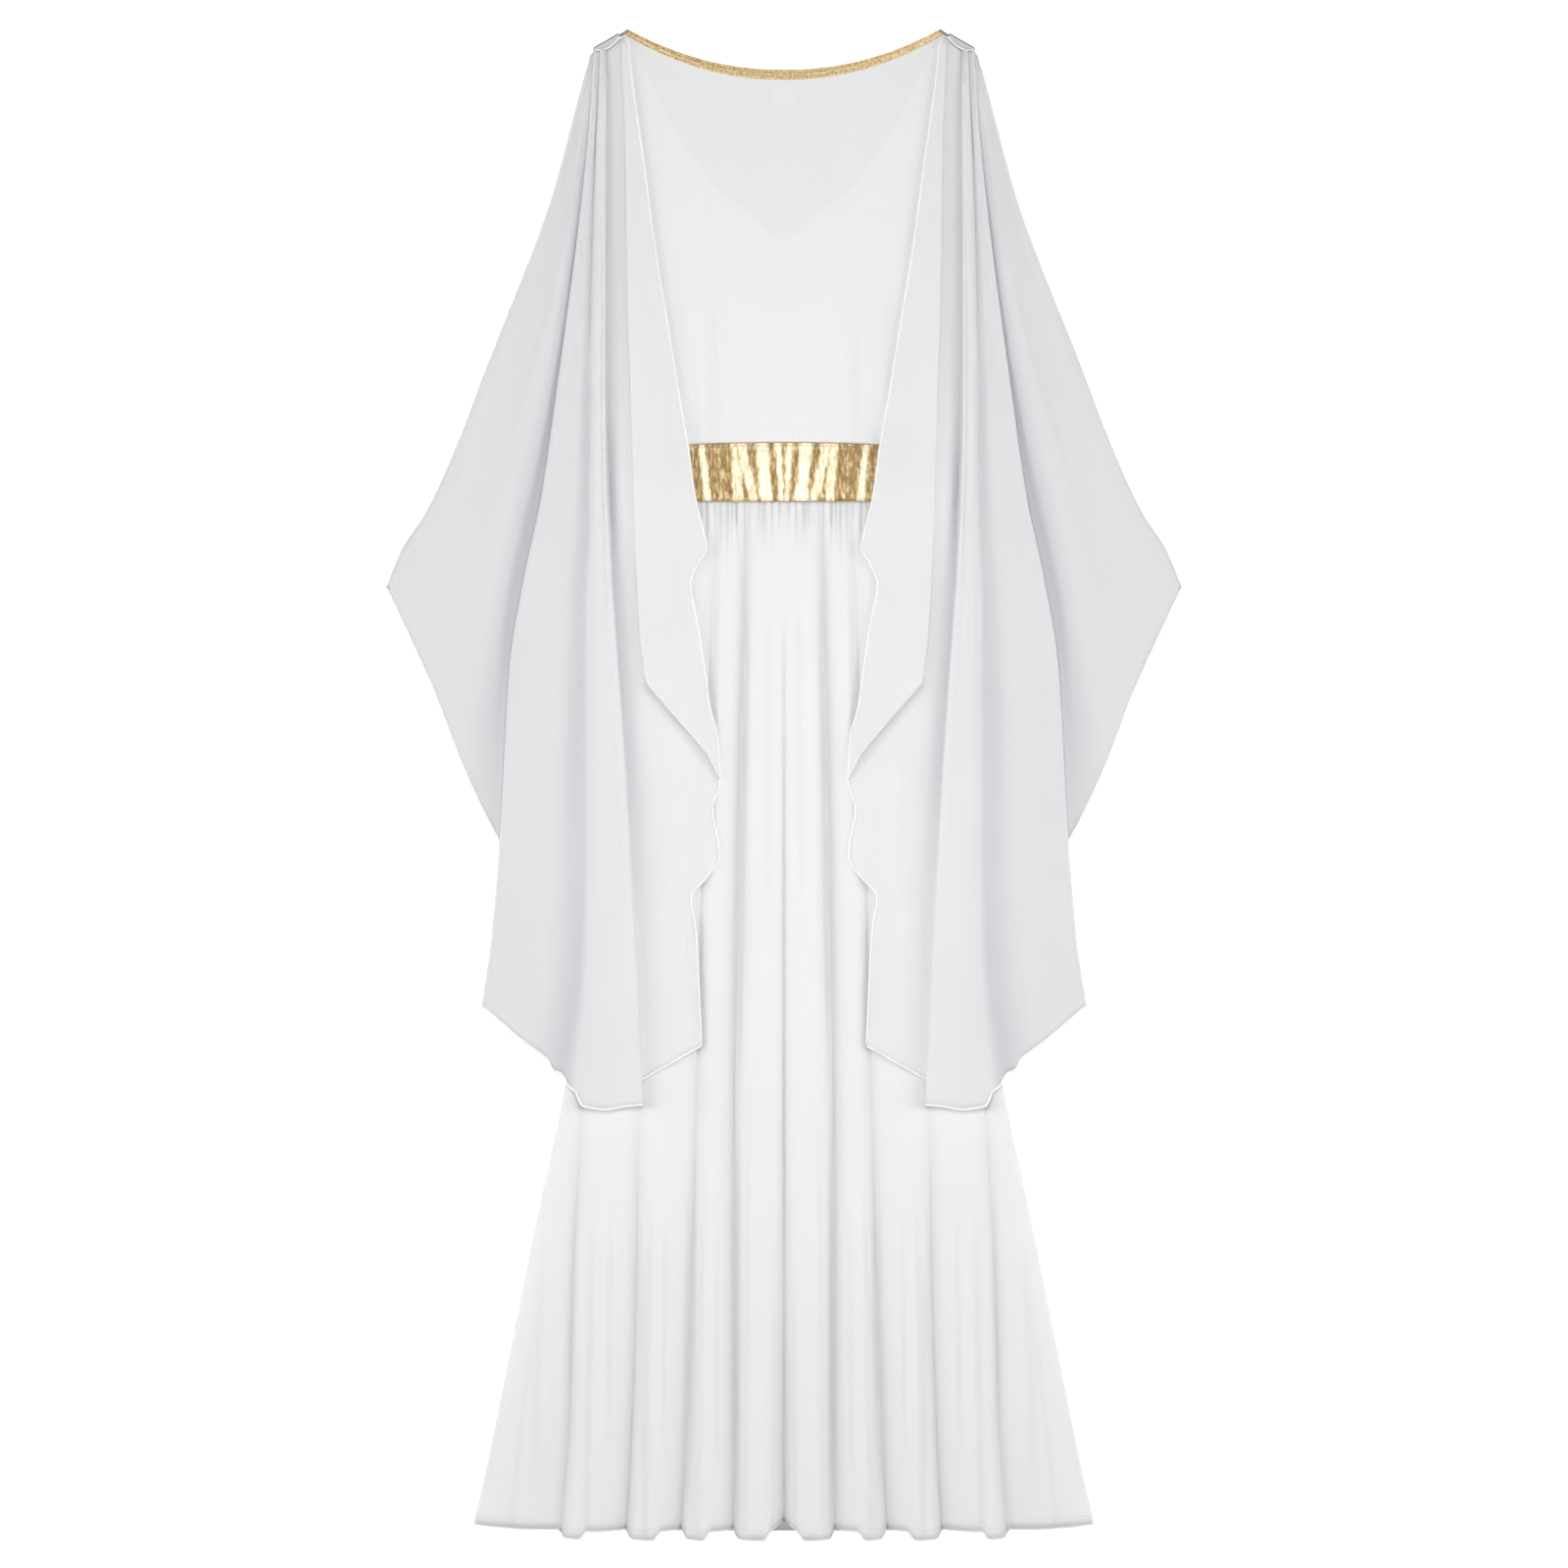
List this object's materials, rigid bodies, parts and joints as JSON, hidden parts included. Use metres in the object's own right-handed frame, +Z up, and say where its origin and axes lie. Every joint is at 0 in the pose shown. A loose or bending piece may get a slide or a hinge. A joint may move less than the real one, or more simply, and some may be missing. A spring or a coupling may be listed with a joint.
{
  "type": "roman toga costume, a long white gown with shoulder capes and a gold waistband, laid flat back side up",
  "caption": "Long white sleeveless gown laid flat, back side up, with gold waistband, gold-braided boat neck and a draped cape from each shoulder.",
  "frame": {"origin": "middle of the garment's length and width, on the surface that it lies on", "axes": "+X across the garment, towards the right of the picture; +Y along it, towards the neck; +Z up, off the surface"},
  "size_m": [0.7722, 1.4625, 0.0206],
  "materials": {
    "gown_cloth": "smooth white polyester knit, matt with a faint sheen, slightly see-through",
    "cape_cloth": "thin cool-white chiffon with narrow rolled hems, matt, slightly see-through",
    "gold_lame": "gold foil-coated knit drawn over elastic, creased, metallic and glossy",
    "gold_braid": "narrow plaited gold metallic braid",
    "white_binding": "narrow white satin binding with a soft gloss",
    "label_tape": "blank white satin label tape"
  },
  "bodies": {
    "root": {"front_bodice": "gown_cloth", "front_waistband": "gold_lame", "front_skirt": "gown_cloth", "neck_label": "label_tape", "back_bodice": "gown_cloth", "back_waistband": "gold_lame", "back_skirt": "gown_cloth", "neck_braid": "gold_braid", "cape_right": "cape_cloth", "cape_flap_right": "cape_cloth", "shoulder_strip_right": "white_binding", "cape_left": "cape_cloth", "cape_flap_left": "cape_cloth", "shoulder_strip_left": "white_binding"}
  },
  "joints": []
}
